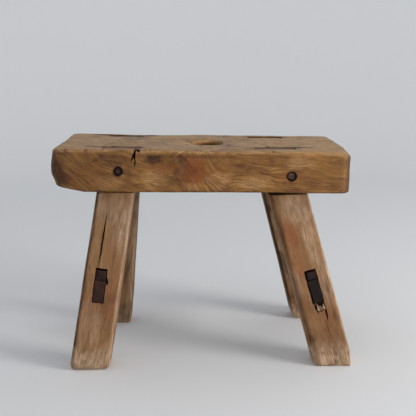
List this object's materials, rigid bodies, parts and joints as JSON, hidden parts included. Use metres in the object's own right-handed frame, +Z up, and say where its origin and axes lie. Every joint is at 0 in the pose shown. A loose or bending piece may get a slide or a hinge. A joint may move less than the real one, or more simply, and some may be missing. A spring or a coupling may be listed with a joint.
{
  "type": "milking stool",
  "caption": "Low oblong wooden stool with splayed legs wedged and pegged through a thick plank seat, a hand hole and end stretchers.",
  "frame": {"origin": "on the floor under the middle of the stool", "axes": "+X along the seat to the right, +Y from front to back, +Z up"},
  "size_m": [0.3695, 0.2153, 0.2755],
  "materials": {
    "seat_wood": "old elm plank, worn bare and greyed on top, brown and swirling along the edge",
    "leg_wood": "old elm, weathered, paler at the scuffed feet",
    "dark_wood": "dark reddish hardwood, rough end grain",
    "peg_wood": "dark end grain of a turned-in peg"
  },
  "bodies": {
    "root": {"leg_back_left": "leg_wood", "leg_back_right": "leg_wood", "leg_front_left": "leg_wood", "leg_front_right": "leg_wood", "peg_back_left": "peg_wood", "peg_back_right": "peg_wood", "peg_front_left": "peg_wood", "peg_front_right": "peg_wood", "seat": "seat_wood", "seat_wedge_back_left": "dark_wood", "seat_wedge_back_right": "dark_wood", "seat_wedge_front_left": "dark_wood", "seat_wedge_front_right": "dark_wood", "stretcher_left": "dark_wood", "stretcher_right": "dark_wood", "stretcher_wedge_back_left": "dark_wood", "stretcher_wedge_back_right": "dark_wood", "stretcher_wedge_front_left": "dark_wood", "stretcher_wedge_front_right": "dark_wood"}
  },
  "joints": []
}
